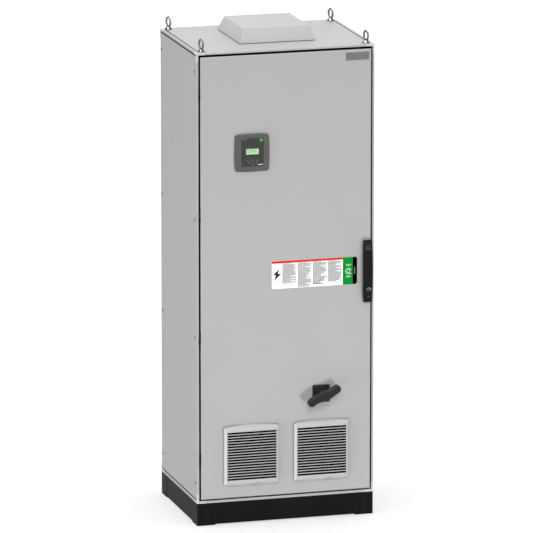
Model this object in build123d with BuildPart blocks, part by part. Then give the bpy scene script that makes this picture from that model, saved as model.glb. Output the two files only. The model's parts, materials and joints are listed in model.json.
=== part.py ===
"""Floor-standing enclosure with a variable frequency drive, its supply gear and its door controls.

Millimetres. The origin is on the floor at the centre of the footprint: +X right, -Y front, +Z up.
"""
import os
from math import cos, radians, sin

from build123d import *

os.makedirs("parts", exist_ok=True)

# ---------------------------------------------------------------- driving dimensions
WIDTH = 800
DEPTH = 600
PLINTH_HEIGHT = 100
CABINET_HEIGHT = 2000
TOP = PLINTH_HEIGHT + CABINET_HEIGHT
SIDE = WIDTH / 2
BACK = DEPTH / 2
FRONT = -DEPTH / 2
SHEET = 2
GAP = 0.3

CORNER = 42
LIP_SIDE = 9
LIP_TOP = 10
RECESS = 17.5
PANEL_EDGE = 10
PANEL_BACK = 3
PANEL_BOTTOM = PLINTH_HEIGHT + 19
PANEL_TOP = TOP - 15
POST_WIDE = 53
POST_DEEP = 40.5
POST_WALL = 3

DOOR_WIDTH = 767
DOOR_BOTTOM = PLINTH_HEIGHT + 18.5
DOOR_TOP = TOP - 19.5
DOOR_FACE = FRONT - 7
DOOR_DEPTH = 21
DOOR_BACK = DOOR_FACE + DOOR_DEPTH
HINGE_X = -SIDE + 12.75
HINGE_Y = FRONT - 3.5

ROOF_EDGE = 16
HOOD_X = 6
HOOD_Y = 25
HOOD_GAP = 3
EYE_INSET = 30
EYE_SHANK = 6

GRILLE_X = 158.5
GRILLE_Z = 308
GRILLE_WIDTH = 248
GRILLE_HEIGHT = 257
GRILLE_BULGE = 9
GRILLE_CUT = 223

CONTROL_X = -155
CONTROL_Z = 1652.5
CONTROL_FACE = DOOR_FACE - 11

BREAKER_X = 159
BREAKER_Z = 561
LEVER_ANGLE = 25.9

HANDLE_X = 365
HANDLE_LOW = 961.5
HANDLE_HIGH = 1236.5
SWIVEL_Z = 1205
LIFT_Y = FRONT - 20
LIFT_Z = 1224

PLATE_FRONT = 200


def save(piece, name):
    """Label a finished piece and write it as its own STEP file."""
    piece.part.label = name
    export_step(piece.part, f"parts/{name}.step")


def block(x, y, z, mode=Mode.ADD):
    """Box between three (low, high) ranges, combined with the part being built."""
    with Locations(((x[0] + x[1]) / 2, (y[0] + y[1]) / 2, (z[0] + z[1]) / 2)):
        Box(x[1] - x[0], y[1] - y[0], z[1] - z[0], mode=mode)


def mirrored(low, high, side):
    """The (low, high) range, or its mirror image when side is -1."""
    return (low, high) if side > 0 else (-high, -low)


def facing_front(x, y, z):
    """Sketch plane that looks out of the door, with its origin at the given point."""
    return Plane(origin=(x, y, z), x_dir=(1, 0, 0), z_dir=(0, -1, 0))


def outer_uprights(piece, margin):
    """Edges of the piece that stand on the cabinet's four outer corners, to within the margin."""
    reach = SIDE + BACK - margin
    return piece.edges().filter_by(lambda edge: abs(edge.center().X) + abs(edge.center().Y) > reach)


QUADRANTS = [(sx, sy) for sx in (-1, 1) for sy in (-1, 1)]

# ---------------------------------------------------------------- plinth
FOOT_X = 82
FOOT_Y = 86
FOOT_WALL = 4
ANCHOR_X = 720
ANCHOR_Y = 510
ANCHOR_R = 7

with BuildPart() as plinth_corners:
    for sx, sy in QUADRANTS:
        block(mirrored(SIDE - FOOT_X, SIDE, sx), mirrored(BACK - FOOT_Y, BACK, sy), (0, PLINTH_HEIGHT))
    fillet(outer_uprights(plinth_corners, 1), 4)
    for sx, sy in QUADRANTS:
        hollow_x = mirrored(SIDE - FOOT_X - 1, SIDE - FOOT_WALL, sx)
        hollow_y = mirrored(BACK - FOOT_Y - 1, BACK - FOOT_WALL, sy)
        block(hollow_x, hollow_y, (FOOT_WALL, PLINTH_HEIGHT - FOOT_WALL), Mode.SUBTRACT)
    with GridLocations(ANCHOR_X, ANCHOR_Y, 2, 2):
        Hole(ANCHOR_R)
save(plinth_corners, "plinth_corners")

with BuildPart() as plinth_skirts:
    skirt_z = (4, PLINTH_HEIGHT - 1)
    skirt_x = (-SIDE + FOOT_X + GAP, SIDE - FOOT_X - GAP)
    skirt_y = (FRONT + FOOT_Y + GAP, BACK - FOOT_Y - GAP)
    for side in (-1, 1):
        block(skirt_x, mirrored(BACK - 4, BACK - 1, side), skirt_z)
        block(mirrored(SIDE - 4, SIDE - 1, side), skirt_y, skirt_z)
save(plinth_skirts, "plinth_skirts")

# ---------------------------------------------------------------- welded frame
with BuildPart() as frame_corners:
    for sx, sy in QUADRANTS:
        corner_x = mirrored(SIDE - CORNER, SIDE, sx)
        corner_y = mirrored(BACK - CORNER, BACK, sy)
        block(corner_x, corner_y, (PLINTH_HEIGHT, PLINTH_HEIGHT + CORNER))
        block(corner_x, corner_y, (TOP - CORNER, TOP))
    for side in (-1, 1):
        door_x = mirrored(SIDE - CORNER - 1, SIDE - LIP_SIDE, side)
        door_z = (PLINTH_HEIGHT + LIP_TOP + 0.7, TOP - LIP_TOP)
        block(door_x, (FRONT - 1, FRONT + RECESS), door_z, Mode.SUBTRACT)
        panel_z = (PANEL_BOTTOM - 6, PANEL_TOP + 6)
        panel_x = mirrored(SIDE - PANEL_BACK, SIDE + 1, side)
        block(panel_x, (FRONT + PANEL_EDGE - GAP, BACK - PANEL_EDGE + GAP), panel_z, Mode.SUBTRACT)
    back_x = (-SIDE + PANEL_EDGE - GAP, SIDE - PANEL_EDGE + GAP)
    block(back_x, (BACK - PANEL_BACK, BACK + 1), panel_z, Mode.SUBTRACT)
    with Locations((0, 0, TOP)):
        with GridLocations(WIDTH - 2 * EYE_INSET, DEPTH - 2 * EYE_INSET, 2, 2):
            Cylinder(EYE_SHANK, 44, mode=Mode.SUBTRACT)
    outer = outer_uprights(frame_corners, 0.1)
    fillet(outer.filter_by(Axis.Z), 3)
save(frame_corners, "frame_corners")

with BuildPart() as frame_rails:
    rail_x = (-SIDE + CORNER + GAP, SIDE - CORNER - GAP)
    rail_y = (FRONT + CORNER + GAP, BACK - CORNER - GAP)
    low_z = (PLINTH_HEIGHT, PLINTH_HEIGHT + CORNER)
    high_z = (TOP - CORNER, TOP - 6)
    block(rail_x, (FRONT, FRONT + CORNER), low_z)
    block(rail_x, (FRONT - 1, FRONT + RECESS), (PLINTH_HEIGHT + LIP_TOP + 0.7, TOP), Mode.SUBTRACT)
    block(rail_x, (FRONT + RECESS, FRONT + CORNER), high_z)
    block(rail_x, (BACK - CORNER, BACK), low_z)
    block(rail_x, (BACK - CORNER, BACK), (TOP - CORNER, TOP))
    block(rail_x, (BACK - PANEL_BACK, BACK + 1), panel_z, Mode.SUBTRACT)
    for side in (-1, 1):
        block(mirrored(SIDE - CORNER, SIDE, side), rail_y, low_z)
        block(mirrored(SIDE - CORNER, SIDE, side), rail_y, high_z)
        block(mirrored(SIDE - ROOF_EDGE + 4, SIDE, side), rail_y, (TOP - 6, TOP))
        block(mirrored(SIDE - PANEL_BACK, SIDE + 1, side), rail_y, panel_z, Mode.SUBTRACT)
save(frame_rails, "frame_rails")

with BuildPart() as frame_posts:
    post_z = (PLINTH_HEIGHT + CORNER + GAP, TOP - CORNER - GAP)
    for sx, sy in QUADRANTS:
        outer_y = -RECESS if sy < 0 else -PANEL_BACK
        post_x = (SIDE - PANEL_BACK - POST_WIDE, SIDE - PANEL_BACK)
        post_y = (BACK + outer_y - POST_DEEP, BACK + outer_y)
        tube_x = (post_x[0] + POST_WALL, post_x[1] - POST_WALL)
        tube_y = (post_y[0] + POST_WALL, post_y[1] - POST_WALL)
        block(mirrored(*post_x, sx), mirrored(*post_y, sy), post_z)
        block(mirrored(*tube_x, sx), mirrored(*tube_y, sy), post_z, Mode.SUBTRACT)
    for side in (-1, 1):
        with BuildSketch(Plane.XY.offset(post_z[0])):
            with BuildLine():
                Polyline(
                    (side * SIDE, FRONT),
                    (side * (SIDE - LIP_SIDE), FRONT),
                    (side * (SIDE - LIP_SIDE), FRONT + RECESS),
                    (side * (SIDE - PANEL_BACK), FRONT + RECESS),
                    (side * (SIDE - PANEL_BACK), FRONT + PANEL_EDGE - GAP),
                    (side * SIDE, FRONT + PANEL_EDGE - GAP),
                    close=True,
                )
            make_face()
        extrude(amount=post_z[1] - post_z[0])
    outer = frame_posts.edges().filter_by(lambda edge: abs(edge.center().X) - edge.center().Y > SIDE + BACK - 0.1)
    fillet(outer.filter_by(Axis.Z), 3)
save(frame_posts, "frame_posts")

# ---------------------------------------------------------------- covers
with BuildPart() as roof_plate:
    roof_x = (-SIDE + CORNER + GAP, SIDE - CORNER - GAP)
    block(roof_x, (FRONT, BACK - CORNER - GAP), (TOP - SHEET, TOP))
    for side in (-1, 1):
        wing_x = mirrored(SIDE - CORNER - 1, SIDE - ROOF_EDGE, side)
        block(wing_x, (FRONT + CORNER + GAP, BACK - CORNER - GAP), (TOP - SHEET, TOP))
    block(roof_x, (FRONT, FRONT + SHEET), (TOP - LIP_TOP, TOP))
    block(roof_x, (FRONT, FRONT + RECESS - GAP), (TOP - LIP_TOP, TOP - LIP_TOP + SHEET))
    with BuildSketch(Plane.XY.offset(TOP - SHEET)):
        with Locations((HOOD_X, HOOD_Y)):
            Circle(108)
    extrude(amount=SHEET, mode=Mode.SUBTRACT)
    lengthwise = roof_plate.edges().filter_by(Axis.X)
    nose = lengthwise.filter_by(lambda edge: edge.center().Z - edge.center().Y > TOP + BACK - 0.1)
    fillet(nose, 5)
save(roof_plate, "roof_plate")

HOOD_BASE = (344, 360)
HOOD_TOP = (296, 307)
HOOD_HEIGHT = 60

with BuildPart() as roof_hood:
    for inset, mode in ((0, Mode.ADD), (SHEET, Mode.SUBTRACT)):
        foot = Plane.XY.offset(TOP + HOOD_GAP)
        crown = Plane.XY.offset(TOP + HOOD_GAP + HOOD_HEIGHT - inset)
        with BuildSketch(foot):
            with Locations((HOOD_X, HOOD_Y)):
                Rectangle(HOOD_BASE[0] - 2 * inset, HOOD_BASE[1] - 2 * inset)
        with BuildSketch(crown):
            with Locations((HOOD_X, HOOD_Y)):
                Rectangle(HOOD_TOP[0] - 2 * inset, HOOD_TOP[1] - 2 * inset)
        loft(mode=mode)
    with Locations((HOOD_X, HOOD_Y, TOP)):
        with GridLocations(260, 276, 2, 2):
            Cylinder(9, HOOD_GAP + HOOD_HEIGHT - 1, align=(Align.CENTER, Align.CENTER, Align.MIN))
save(roof_hood, "roof_hood")

EYE_RING = 20
EYE_BAR = 4.3
EYE_CENTRE = TOP + 33
EYE_TURN = 10

with BuildPart() as eyebolts:
    for sx, sy in QUADRANTS:
        eye_x = sx * (SIDE - EYE_INSET)
        eye_y = sy * (BACK - EYE_INSET)
        with Locations((eye_x, eye_y, TOP)):
            Cylinder(16.5, 4, align=(Align.CENTER, Align.CENTER, Align.MIN))
        with Locations((eye_x, eye_y, TOP + 4)):
            Cone(16, 8, 8, align=(Align.CENTER, Align.CENTER, Align.MIN))
        with Locations((eye_x, eye_y, TOP)):
            Cylinder(EYE_SHANK - 0.1, 20, align=(Align.CENTER, Align.CENTER, Align.MAX))
        with Locations(Location((eye_x, eye_y, EYE_CENTRE), (0, 0, EYE_TURN))):
            Torus(EYE_RING, EYE_BAR, rotation=(0, 90, 0))
save(eyebolts, "eyebolts")

SCREW_Z = [PLINTH_HEIGHT + CABINET_HEIGHT / 2 + offset for offset in (-912, -261, 264, 914)]
SIDE_SCREWS = [
    Location((side * SIDE, y, z), (0, 90 * side, 0)) for side in (-1, 1) for y in (-271, 275) for z in SCREW_Z
]
BACK_SCREWS = [Location((x, BACK, z), (-90, 0, 0)) for x in (-372, 372) for z in SCREW_Z]
DIMPLE_R = 5.6
DIMPLE_DEPTH = 1.2

with BuildPart() as side_panels:
    for side in (-1, 1):
        sheet_y = (FRONT + PANEL_EDGE, BACK - PANEL_EDGE)
        block(mirrored(SIDE - SHEET, SIDE, side), sheet_y, (PANEL_BOTTOM, PANEL_TOP))
        for rib in (-140, 140):
            rib_z = (PANEL_BOTTOM + 60, PANEL_TOP - 60)
            block(mirrored(SIDE - 14, SIDE - SHEET, side), (rib - 20, rib + 20), rib_z)
    with Locations(*SIDE_SCREWS):
        Cylinder(DIMPLE_R, 2 * DIMPLE_DEPTH, mode=Mode.SUBTRACT)
save(side_panels, "side_panels")

with BuildPart() as back_panel:
    sheet_x = (-SIDE + PANEL_EDGE, SIDE - PANEL_EDGE)
    block(sheet_x, (BACK - SHEET, BACK), (PANEL_BOTTOM, PANEL_TOP))
    for rib in (-160, 160):
        block((rib - 20, rib + 20), (BACK - 14, BACK - SHEET), rib_z)
    with Locations(*BACK_SCREWS):
        Cylinder(DIMPLE_R, 2 * DIMPLE_DEPTH, mode=Mode.SUBTRACT)
save(back_panel, "back_panel")

with BuildPart() as panel_screws:
    for place in SIDE_SCREWS + BACK_SCREWS:
        with Locations(place * Pos(0, 0, -DIMPLE_DEPTH)):
            Cylinder(4.6, 0.8, align=(Align.CENTER, Align.CENTER, Align.MIN))
save(panel_screws, "panel_screws")

with BuildPart() as panel_gaskets:
    for low in (PANEL_BOTTOM - 6, PANEL_TOP):
        band_z = (low + GAP, low + 6 - GAP)
        for side in (-1, 1):
            block(mirrored(SIDE - PANEL_BACK, SIDE - 1.5, side), sheet_y, band_z)
        block(sheet_x, (BACK - PANEL_BACK, BACK - 1.5), band_z)
save(panel_gaskets, "panel_gaskets")

with BuildPart() as floor_plates:
    for low, high in ((-257.7, -90), (-88, 88), (90, 257.7)):
        block((-357.7, 357.7), (low, high), (PLINTH_HEIGHT + 4, PLINTH_HEIGHT + 6))
save(floor_plates, "floor_plates")

# ---------------------------------------------------------------- roof fan
FAN_SIZE = 225
FAN_DEPTH = 80
FAN_BORE = 104
ROTOR_R = 100
HUB_R = 42
SPINDLE_R = 4

with BuildPart() as roof_fan_frame:
    fan_top = TOP - SHEET
    with BuildSketch(Plane.XY.offset(fan_top - FAN_DEPTH)):
        with Locations((HOOD_X, HOOD_Y)):
            RectangleRounded(FAN_SIZE, FAN_SIZE, 12)
            Circle(FAN_BORE, mode=Mode.SUBTRACT)
    extrude(amount=FAN_DEPTH)
    with BuildSketch(Plane.XY.offset(fan_top - 5)):
        with Locations((HOOD_X, HOOD_Y)):
            Circle(34)
            with PolarLocations(70, 4):
                Rectangle(82, 8)
    extrude(amount=5)
    with Locations((HOOD_X, HOOD_Y, fan_top - 5)):
        Cylinder(SPINDLE_R, 45, align=(Align.CENTER, Align.CENTER, Align.MAX))
save(roof_fan_frame, "roof_fan_frame")


def fan_rotor(plane, hub_radius, tip_radius, height, blades, bore_radius):
    """Axial rotor with pitched flat blades, centred on the plane's origin and standing along its Z."""
    with BuildSketch(plane) as hub:
        Circle(hub_radius)
        Circle(bore_radius, mode=Mode.SUBTRACT)
    extrude(hub.sketch, amount=height)
    blade_length = tip_radius - hub_radius
    for index in range(blades):
        turn = Rotation(0, 0, 360 * index / blades)
        place = Pos(hub_radius + blade_length / 2 - 2, 0, height / 2) * Rotation(40, 0, 0)
        blade = plane.location * turn * place * Box(blade_length, height * 1.1, 3, mode=Mode.PRIVATE)
        add(blade)


with BuildPart() as roof_fan_rotor:
    rotor_plane = Plane.XY.offset(fan_top - 5 - 8 - 36).move(Location((HOOD_X, HOOD_Y, 0)))
    fan_rotor(rotor_plane, HUB_R, ROTOR_R, 36, 7, SPINDLE_R + 0.05)
save(roof_fan_rotor, "roof_fan_rotor")

# ---------------------------------------------------------------- mounting plate and rails
with BuildPart() as mounting_plate:
    plate_y = (PLATE_FRONT, PLATE_FRONT + 2.5)
    block((-349, 349), plate_y, (160, 2040))
    for side in (-1, 1):
        block(mirrored(346.5, 349, side), (PLATE_FRONT, PLATE_FRONT + 20), (160, 2040))
    for z in (160, 2037.5):
        block((-349, 349), (PLATE_FRONT, PLATE_FRONT + 20), (z, z + 2.5))
    for side in (-1, 1):
        for z in (240, 1960):
            block(mirrored(330, 344, side), (PLATE_FRONT + 2.5, 262), (z - 20, z + 20))
save(mounting_plate, "mounting_plate")

RAIL_WIDTH = 35
RAIL_HEIGHT = 7.5
RELAY_ROW = 810
TERMINAL_ROW = 235

with BuildPart() as din_rails:
    for x, z in (((-290, 60), RELAY_ROW), ((20, 300), TERMINAL_ROW)):
        block(x, (PLATE_FRONT - 1, PLATE_FRONT), (z - 13.5, z + 13.5))
        for side in (-1, 1):
            web = (z + mirrored(12.5, 13.5, side)[0], z + mirrored(12.5, 13.5, side)[1])
            edge = (z + mirrored(12.5, RAIL_WIDTH / 2, side)[0], z + mirrored(12.5, RAIL_WIDTH / 2, side)[1])
            block(x, (PLATE_FRONT - RAIL_HEIGHT, PLATE_FRONT), web)
            block(x, (PLATE_FRONT - RAIL_HEIGHT, PLATE_FRONT - RAIL_HEIGHT + 1), edge)
save(din_rails, "din_rails")

device_back = PLATE_FRONT - RAIL_HEIGHT - GAP

with BuildPart() as control_relays:
    relay_x = -285
    for width, height, depth in [(70, 125, 110), (45, 90, 62)] + [(22.5, 90, 75)] * 8:
        block((relay_x, relay_x + width - 0.5), (device_back - depth, device_back),
              (RELAY_ROW - height / 2, RELAY_ROW + height / 2))
        block((relay_x + 2, relay_x + width - 2.5), (device_back - depth - 6, device_back - depth),
              (RELAY_ROW - height / 4, RELAY_ROW + height / 4))
        relay_x += width
save(control_relays, "control_relays")

TERMINAL_PITCH = 12
TERMINAL_COUNT = 20

with BuildPart() as terminal_blocks:
    for index in range(TERMINAL_COUNT):
        left = 40 + index * TERMINAL_PITCH
        with BuildSketch(Plane.YZ.offset(left)):
            with BuildLine():
                Polyline(
                    (device_back, TERMINAL_ROW - 32),
                    (device_back - 28, TERMINAL_ROW - 32),
                    (device_back - 48, TERMINAL_ROW - 14),
                    (device_back - 48, TERMINAL_ROW + 14),
                    (device_back - 28, TERMINAL_ROW + 32),
                    (device_back, TERMINAL_ROW + 32),
                    close=True,
                )
            make_face()
        extrude(amount=TERMINAL_PITCH - 0.6)
save(terminal_blocks, "terminal_blocks")

DUCT_DEPTH = 80

with BuildPart() as cable_ducts:
    duct_y = (PLATE_FRONT - DUCT_DEPTH, PLATE_FRONT)
    for side in (-1, 1):
        block(mirrored(305, 345, side), duct_y, (470, 2020))
    for z in (715, 905):
        block((-304.5, 304.5), duct_y, (z - 20, z + 20))
save(cable_ducts, "cable_ducts")

# ---------------------------------------------------------------- supply gear
with BuildPart() as breaker_body:
    body_y = (95, PLATE_FRONT)
    block((BREAKER_X - 70, BREAKER_X + 70), body_y, (BREAKER_Z - 127, BREAKER_Z + 127))
    fillet(breaker_body.edges().filter_by(Axis.Y), 4)
    block((BREAKER_X - 52, BREAKER_X + 52), (70, 95), (BREAKER_Z - 50, BREAKER_Z + 50))
    for side in (-1, 1):
        for x in (-46, 0, 46):
            pocket_z = mirrored(104, 128, side)
            block((BREAKER_X + x - 15, BREAKER_X + x + 15), (94, 130),
                  (BREAKER_Z + pocket_z[0], BREAKER_Z + pocket_z[1]), Mode.SUBTRACT)
    with BuildSketch(Plane.XZ.offset(-95)):
        with Locations((BREAKER_X, BREAKER_Z)):
            Circle(12.06)
    extrude(amount=25, mode=Mode.SUBTRACT)
save(breaker_body, "breaker_body")

with BuildPart() as breaker_shaft:
    with BuildSketch(Plane.XZ.offset(-94.7)):
        with Locations((BREAKER_X, BREAKER_Z)):
            Circle(12)
    extrude(amount=34.7)
    with BuildSketch(Plane.XZ.offset(-60)):
        with Locations((BREAKER_X, BREAKER_Z)):
            Rectangle(10, 10, rotation=45)
    extrude(amount=60 + 276)
save(breaker_shaft, "breaker_shaft")

with BuildPart() as main_fuses:
    for index in range(3):
        x = -285 + 62 * index
        block((x, x + 58), (155, PLATE_FRONT), (470, 680))
        block((x + 6, x + 52), (100, 155), (505, 645))
        for z in (482, 656):
            block((x + 14, x + 44), (135, 155), (z, z + 14))
save(main_fuses, "main_fuses")

with BuildPart() as contactor:
    block((-80, 50), (70, PLATE_FRONT), (520, 640))
    block((-70, 40), (30, 70), (540, 620))
    block((-82, 52), (130, PLATE_FRONT), (490, 670))
save(contactor, "contactor")

CHOKE_X = -160
CHOKE_LOW = 176
LEG_PITCH = 84

with BuildPart() as choke_core:
    for z in (CHOKE_LOW, CHOKE_LOW + 176):
        block((CHOKE_X - 114, CHOKE_X + 114), (80, 150), (z, z + 40))
    for leg in (-1, 0, 1):
        x = CHOKE_X + leg * LEG_PITCH
        block((x - 20, x + 20), (85, 145), (CHOKE_LOW + 40, CHOKE_LOW + 176))
    for z in (CHOKE_LOW - 4, CHOKE_LOW + 216):
        block((CHOKE_X - 120, CHOKE_X + 120), (70, PLATE_FRONT), (z, z + 4))
save(choke_core, "choke_core")

with BuildPart() as choke_coils:
    for leg in (-1, 0, 1):
        with BuildSketch(Plane.XY.offset(CHOKE_LOW + 45)):
            with Locations((CHOKE_X + leg * LEG_PITCH, 115)):
                RectangleRounded(78, 98, 14)
                Rectangle(40.4, 60.4, mode=Mode.SUBTRACT)
        extrude(amount=126)
save(choke_coils, "choke_coils")

BUSBAR_Z = (975, 1015, 1055)

with BuildPart() as busbars:
    for z in BUSBAR_Z:
        block((-270, 270), (140, 145), (z - 15, z + 15))
    with Locations(*[(x, 140, z) for x in (-250, -60, 60, 250) for z in BUSBAR_Z]):
        Cylinder(7, 6, rotation=(90, 0, 0))
save(busbars, "busbars")

with BuildPart() as busbar_supports:
    for x in (-160, 160):
        block((x - 18, x + 18), (145, PLATE_FRONT), (950, 1080))
save(busbar_supports, "busbar_supports")

# ---------------------------------------------------------------- drive module
DRIVE_X = 200
DRIVE_LOW = 1150
DRIVE_HIGH = 1880
DRIVE_FRONT = -90
DRIVE_FAN_Y = 164
DRIVE_FAN_R = 30
DRIVE_FAN_DEPTH = 45

with BuildPart() as drive_heatsink:
    block((-DRIVE_X + 15, DRIVE_X - 15), (120, 130), (DRIVE_LOW + 20, DRIVE_HIGH - 20))
    for index in range(25):
        x = -DRIVE_X + 20 + index * 15
        block((x - 1.5, x + 1.5), (130, PLATE_FRONT - 5), (DRIVE_LOW + 20, DRIVE_HIGH - 100))
save(drive_heatsink, "drive_heatsink")

with BuildPart() as drive_housing:
    drive_z = (DRIVE_LOW, DRIVE_HIGH)
    block((-DRIVE_X, DRIVE_X), (DRIVE_FRONT + 60, PLATE_FRONT), drive_z)
    inner_z = (DRIVE_LOW + SHEET, DRIVE_HIGH - SHEET)
    inner_x = (-DRIVE_X + SHEET, DRIVE_X - SHEET)
    block(inner_x, (DRIVE_FRONT + 59, PLATE_FRONT - SHEET), inner_z, Mode.SUBTRACT)
    with Locations((0, 165, DRIVE_LOW)):
        with GridLocations(30, 18, 11, 3):
            Cylinder(5, 3 * SHEET, mode=Mode.SUBTRACT)
    tray_low = DRIVE_HIGH - DRIVE_FAN_DEPTH
    with BuildSketch(Plane.XY.offset(tray_low)):
        with Locations((0, DRIVE_FAN_Y)):
            Rectangle(DRIVE_FAN_R * 2 + 8, 66)
    extrude(amount=DRIVE_FAN_DEPTH)
    with Locations((0, DRIVE_FAN_Y, tray_low)):
        Cylinder(DRIVE_FAN_R, 2 * DRIVE_FAN_DEPTH, mode=Mode.SUBTRACT)
    with BuildSketch(Plane.XY.offset(DRIVE_HIGH - 4)):
        with Locations((0, DRIVE_FAN_Y)):
            Circle(13)
            with PolarLocations(22, 4):
                Rectangle(22, 3)
    extrude(amount=4)
    with Locations((0, DRIVE_FAN_Y, DRIVE_HIGH - 4)):
        Cylinder(SPINDLE_R, 30, align=(Align.CENTER, Align.CENTER, Align.MAX))
save(drive_housing, "drive_housing")

with BuildPart() as drive_fan:
    fan_plane = Plane.XY.offset(DRIVE_HIGH - 32).move(Location((0, DRIVE_FAN_Y, 0)))
    fan_rotor(fan_plane, 13, DRIVE_FAN_R - 3, 22, 7, SPINDLE_R + 0.05)
save(drive_fan, "drive_fan")

with BuildPart() as drive_cover:
    block((-DRIVE_X, DRIVE_X), (DRIVE_FRONT, DRIVE_FRONT + 60 - GAP), drive_z)
    fillet(drive_cover.faces().sort_by(Axis.Y)[0].edges(), 10)
    cover_z = (DRIVE_LOW + 3, DRIVE_HIGH - 3)
    block((-DRIVE_X + 3, DRIVE_X - 3), (DRIVE_FRONT + 14, DRIVE_FRONT + 61), cover_z, Mode.SUBTRACT)
    with Locations((0, DRIVE_FRONT, DRIVE_LOW + 90)):
        with Locations(Location((0, 0, 0), (90, 0, 0))):
            with GridLocations(1, 14, 1, 7):
                Box(300, 5, 40, mode=Mode.SUBTRACT)
    block((-52, 52), (DRIVE_FRONT - 1, DRIVE_FRONT + 6), (1600, 1760), Mode.SUBTRACT)
save(drive_cover, "drive_cover")

with BuildPart() as drive_board:
    block((-150, 150), (40, 41.6), (1560, 1840))
    for x, z in ((-90, 1620), (0, 1700), (80, 1640), (70, 1790), (-80, 1780)):
        block((x - 22, x + 22), (28, 40), (z - 18, z + 18))
    for x in (-100, 0, 100):
        block((x - 45, x + 45), (85, 119.7), (1440, 1530))
save(drive_board, "drive_board")

with BuildPart() as drive_capacitors:
    with Locations(Location((0, 119.7, 1300), (90, 0, 0))):
        with GridLocations(84, 84, 4, 3):
            Cylinder(38, 100, align=(Align.CENTER, Align.CENTER, Align.MIN))
            with Locations((0, 0, 100)):
                Cylinder(30, 5, align=(Align.CENTER, Align.CENTER, Align.MIN))
save(drive_capacitors, "drive_capacitors")

# ---------------------------------------------------------------- hinges
HINGE_Z = (300, 840, 1380, 1920)
PIN_R = 2
LUG_R = 3.5
LUG_HEIGHT = 24

with BuildPart() as hinges:
    for z in HINGE_Z:
        block((-SIDE + LIP_SIDE, HINGE_X + LUG_R), (HINGE_Y, FRONT + RECESS), (z, z + LUG_HEIGHT))
        with Locations((HINGE_X, HINGE_Y, z)):
            Cylinder(LUG_R, LUG_HEIGHT, align=(Align.CENTER, Align.CENTER, Align.MIN))
            Cylinder(PIN_R, LUG_HEIGHT + 2, align=(Align.CENTER, Align.CENTER, Align.MAX))
save(hinges, "hinges")

# ---------------------------------------------------------------- door
RETURN = 16
HUB_HOLE = 14.05
LOCK_Z = 1018

with BuildPart() as door_skin:
    door_z = (DOOR_BOTTOM, DOOR_TOP)
    door_x = (-DOOR_WIDTH / 2, DOOR_WIDTH / 2)
    block(door_x, (DOOR_FACE, DOOR_BACK), door_z)
    fillet(door_skin.faces().sort_by(Axis.Y)[0].edges(), 3)
    tray_x = (door_x[0] + SHEET, door_x[1] - SHEET)
    tray_z = (door_z[0] + SHEET, door_z[1] - SHEET)
    block(tray_x, (DOOR_FACE + SHEET, DOOR_BACK - SHEET), tray_z, Mode.SUBTRACT)
    mouth_x = (door_x[0] + RETURN, door_x[1] - RETURN)
    mouth_z = (door_z[0] + RETURN, door_z[1] - RETURN)
    block(mouth_x, (DOOR_BACK - SHEET - 1, DOOR_BACK + 1), mouth_z, Mode.SUBTRACT)
    with BuildSketch(Plane.XZ.offset(-DOOR_FACE - 1)) as cutouts:
        with Locations((-GRILLE_X, GRILLE_Z), (GRILLE_X, GRILLE_Z)):
            Rectangle(GRILLE_CUT, GRILLE_CUT)
        with Locations((CONTROL_X, CONTROL_Z)):
            Rectangle(138, 138)
        with Locations((BREAKER_X, BREAKER_Z)):
            Circle(12)
        with Locations((HANDLE_X, SWIVEL_Z)):
            Circle(HUB_HOLE)
    extrude(amount=-SHEET - 2, both=True, mode=Mode.SUBTRACT)
    for z in HINGE_Z:
        block((HINGE_X, door_x[0] + 1), (HINGE_Y - 3, HINGE_Y + 3), (z - 25, z - GAP))
        with Locations((HINGE_X, HINGE_Y, z - GAP)):
            Cylinder(LUG_R, 25 - GAP, align=(Align.CENTER, Align.CENTER, Align.MAX))
            Cylinder(PIN_R + 0.05, 30, align=(Align.CENTER, Align.CENTER, Align.MAX), mode=Mode.SUBTRACT)
save(door_skin, "door_skin")

with BuildPart() as door_stiffeners:
    bar_y = (DOOR_FACE + SHEET, FRONT + 22)
    for side in (-1, 1):
        block(mirrored(300, 330, side), bar_y, (155, 2045))
    for z in (155, 1215, 2015):
        block((-299.7, 299.7), bar_y, (z, z + 30))
    for z in (260, 900, 1300, 1950):
        block((330, tray_x[1]), (FRONT + 3.5, FRONT + 6), (z, z + 20))
save(door_stiffeners, "door_stiffeners")

with BuildPart() as door_gasket:
    with BuildSketch(Plane.XZ.offset(-DOOR_BACK)):
        with Locations((0, (DOOR_BOTTOM + DOOR_TOP) / 2)):
            RectangleRounded(DOOR_WIDTH - 11, DOOR_TOP - DOOR_BOTTOM - 11, 8)
            Rectangle(DOOR_WIDTH - 33, DOOR_TOP - DOOR_BOTTOM - 33, mode=Mode.SUBTRACT)
    extrude(amount=-(FRONT + RECESS - GAP - DOOR_BACK))
save(door_gasket, "door_gasket")

with BuildPart() as name_plate:
    with BuildSketch(Plane.XZ.offset(-DOOR_FACE)):
        with Locations((321, 2051.5)):
            RectangleRounded(105, 34, 3)
    extrude(amount=1.5)
save(name_plate, "name_plate")

with BuildPart() as warning_label:
    with BuildSketch(Plane.XZ.offset(-DOOR_FACE)):
        with Locations((129, 1102.4)):
            RectangleRounded(386, 121.5, 5)
    extrude(amount=0.6)
save(warning_label, "warning_label")

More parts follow.
